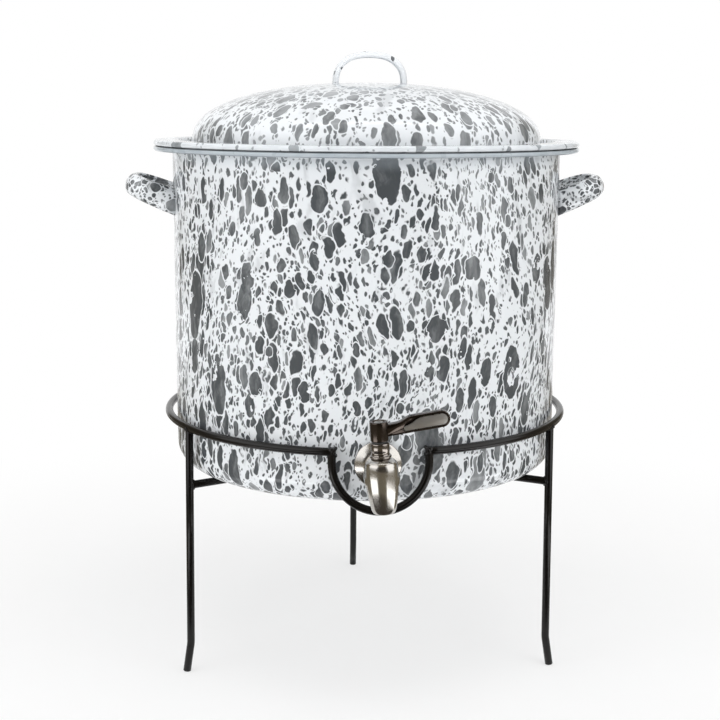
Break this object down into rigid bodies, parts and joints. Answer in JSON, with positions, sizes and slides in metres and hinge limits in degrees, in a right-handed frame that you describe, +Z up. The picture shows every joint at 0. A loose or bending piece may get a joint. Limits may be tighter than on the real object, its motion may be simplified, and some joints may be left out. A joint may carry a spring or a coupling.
{
  "type": "stock pot",
  "caption": "Splatter-enamelled stock pot with domed lid, strap handles and a steel drinks tap, standing in a black rod stand with an open tap loop.",
  "frame": {"origin": "middle of the footprint's bounding box, on the floor under the feet", "axes": "+Z up along the pot's axis; the tap faces -Y; +X to the right seen from the tap, so the side handles point along X"},
  "size_m": [0.3982, 0.3932, 0.5018],
  "materials": {
    "enamel": "gloss",
    "black_paint": "satin",
    "stainless": "polished",
    "lever_inlay": "satin",
    "silicone": "matte",
    "nylon": "satin"
  },
  "bodies": {
    "stand": {"stand_ring": "black_paint", "tap_loop": "black_paint", "leg_left": "black_paint", "leg_right": "black_paint", "leg_rear": "black_paint", "arm_left": "black_paint", "arm_right": "black_paint", "arm_rear": "black_paint"},
    "pot": {"pot_shell": "enamel", "side_handle_left": "enamel", "side_handle_right": "enamel", "tap_body": "stainless", "tap_flange": "stainless", "outer_seal": "silicone", "inner_seal": "silicone", "shank_washer": "stainless", "shank_nut": "stainless", "tap_collar": "stainless", "lever_glide": "nylon"},
    "lid": {"lid_shell": "enamel", "lid_handle": "enamel"},
    "lever": {"tap_lever": "stainless", "lever_panel": "lever_inlay", "lever_screw": "stainless", "valve_plug": "stainless", "plug_seal": "nylon"}
  },
  "joints": [
    {"name": "pot_lift", "type": "slide", "parent": "stand", "child": "pot", "axis": [0, 0, 1], "range_m": [0, 0.25]},
    {"name": "lid_lift", "type": "slide", "parent": "pot", "child": "lid", "axis": [0, 0, 1], "range_m": [0, 0.15]},
    {"name": "lever_turn", "type": "hinge", "parent": "pot", "child": "lever", "pos_m": [0, -0.18438, 0.1948], "axis": [0.0698, 0, -0.9976], "range_deg": [0, 90]}
  ]
}
